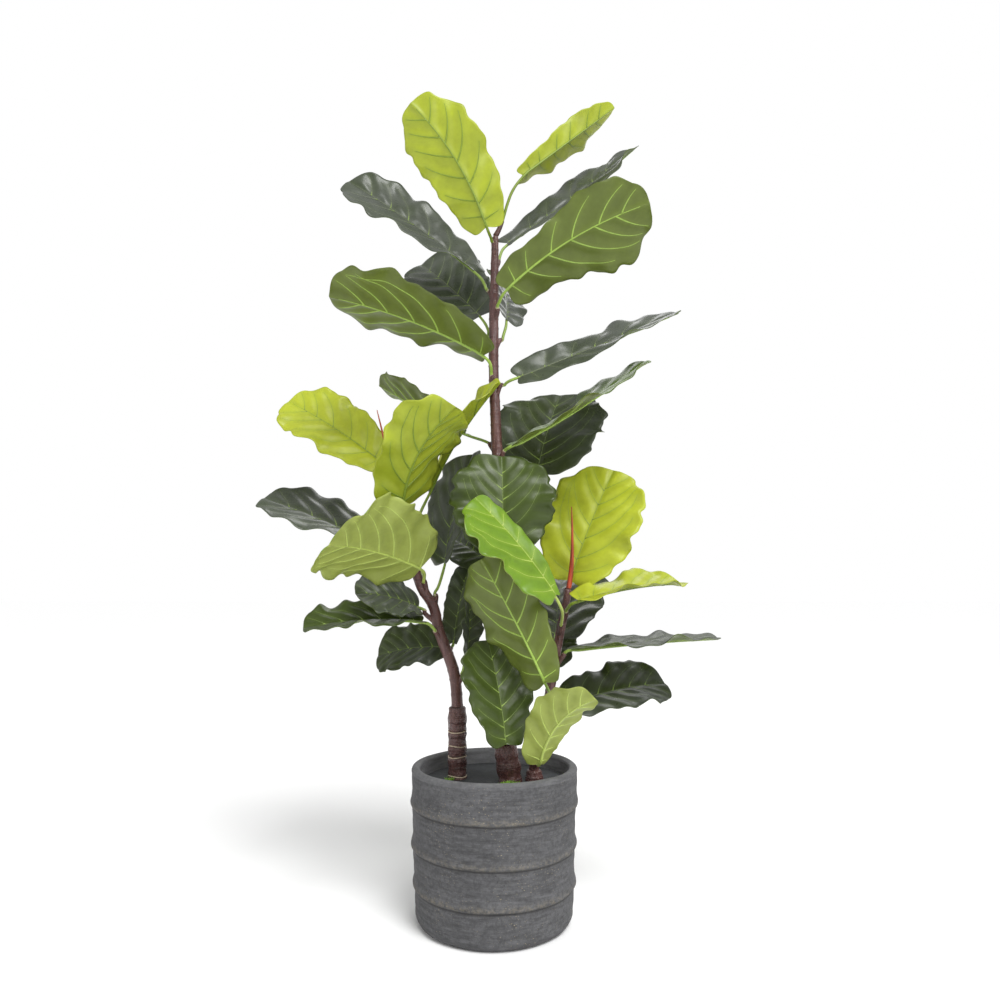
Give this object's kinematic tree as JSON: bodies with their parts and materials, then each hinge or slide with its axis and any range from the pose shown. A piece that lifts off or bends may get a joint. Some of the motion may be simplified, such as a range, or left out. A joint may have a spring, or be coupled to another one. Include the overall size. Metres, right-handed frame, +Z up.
{
  "type": "potted fiddle leaf fig",
  "caption": "Free-standing fiddle leaf fig with bare trunks and large lobed leaves, set in a round ringed fibre-clay pot.",
  "frame": {"origin": "centre of the pot's flat underside, on the floor", "axes": "+Z up along the pot's axis; +X to the right as seen from the front; -Y is the front"},
  "size_m": [0.7323, 0.4188, 1.3377],
  "materials": {
    "pot_clay": "matt, brushed, speckled charcoal fibre clay",
    "filler": "matt, rough",
    "cover_disc": "matt, faintly scratched",
    "bark_stem": "glossy brown-purple with ring scars",
    "bark_base": "semi-gloss brown with pale rings",
    "leaf_dark": "satin dark green, grey sheen, yellow veins",
    "leaf_mid": "satin mid green with pale raised veins",
    "leaf_light": "satin yellow-green with pale veins",
    "bud_red": "satin orange-red",
    "moss": "matt bright green tuft"
  },
  "bodies": {
    "root": {"pot": "pot_clay", "planting_filler": "filler", "cover_disc": "cover_disc", "left_trunk": "bark_stem", "left_bark_sleeve": "bark_base", "centre_trunk": "bark_stem", "centre_bark_sleeve": "bark_base", "right_trunk": "bark_stem", "right_bark_sleeve": "bark_base", "left_bud": "bud_red", "right_bud": "bud_red", "moss_front": "moss", "moss_side": "moss", "centre_leaf_01": "leaf_light", "centre_leaf_02": "leaf_light", "centre_leaf_03": "leaf_dark", "centre_leaf_04": "leaf_dark", "centre_leaf_05": "leaf_mid", "centre_leaf_06": "leaf_dark", "centre_leaf_07": "leaf_dark", "centre_leaf_08": "leaf_mid", "centre_leaf_09": "leaf_dark", "centre_leaf_10": "leaf_mid", "centre_leaf_11": "leaf_dark", "centre_leaf_12": "leaf_mid", "centre_leaf_13": "leaf_dark", "centre_leaf_14": "leaf_mid", "centre_leaf_15": "leaf_dark", "centre_leaf_16": "leaf_dark", "centre_leaf_17": "leaf_dark", "left_leaf_01": "leaf_light", "left_leaf_02": "leaf_light", "left_leaf_03": "leaf_light", "left_leaf_04": "leaf_mid", "left_leaf_05": "leaf_dark", "left_leaf_06": "leaf_dark", "left_leaf_07": "leaf_dark", "left_leaf_08": "leaf_mid", "left_leaf_09": "leaf_dark", "left_leaf_10": "leaf_dark", "left_leaf_11": "leaf_dark", "right_leaf_01": "leaf_light", "right_leaf_02": "leaf_mid", "right_leaf_03": "leaf_light", "right_leaf_04": "leaf_light", "right_leaf_05": "leaf_dark", "right_leaf_06": "leaf_dark", "right_leaf_07": "leaf_dark", "right_leaf_08": "leaf_mid", "right_leaf_09": "leaf_dark"}
  },
  "joints": []
}
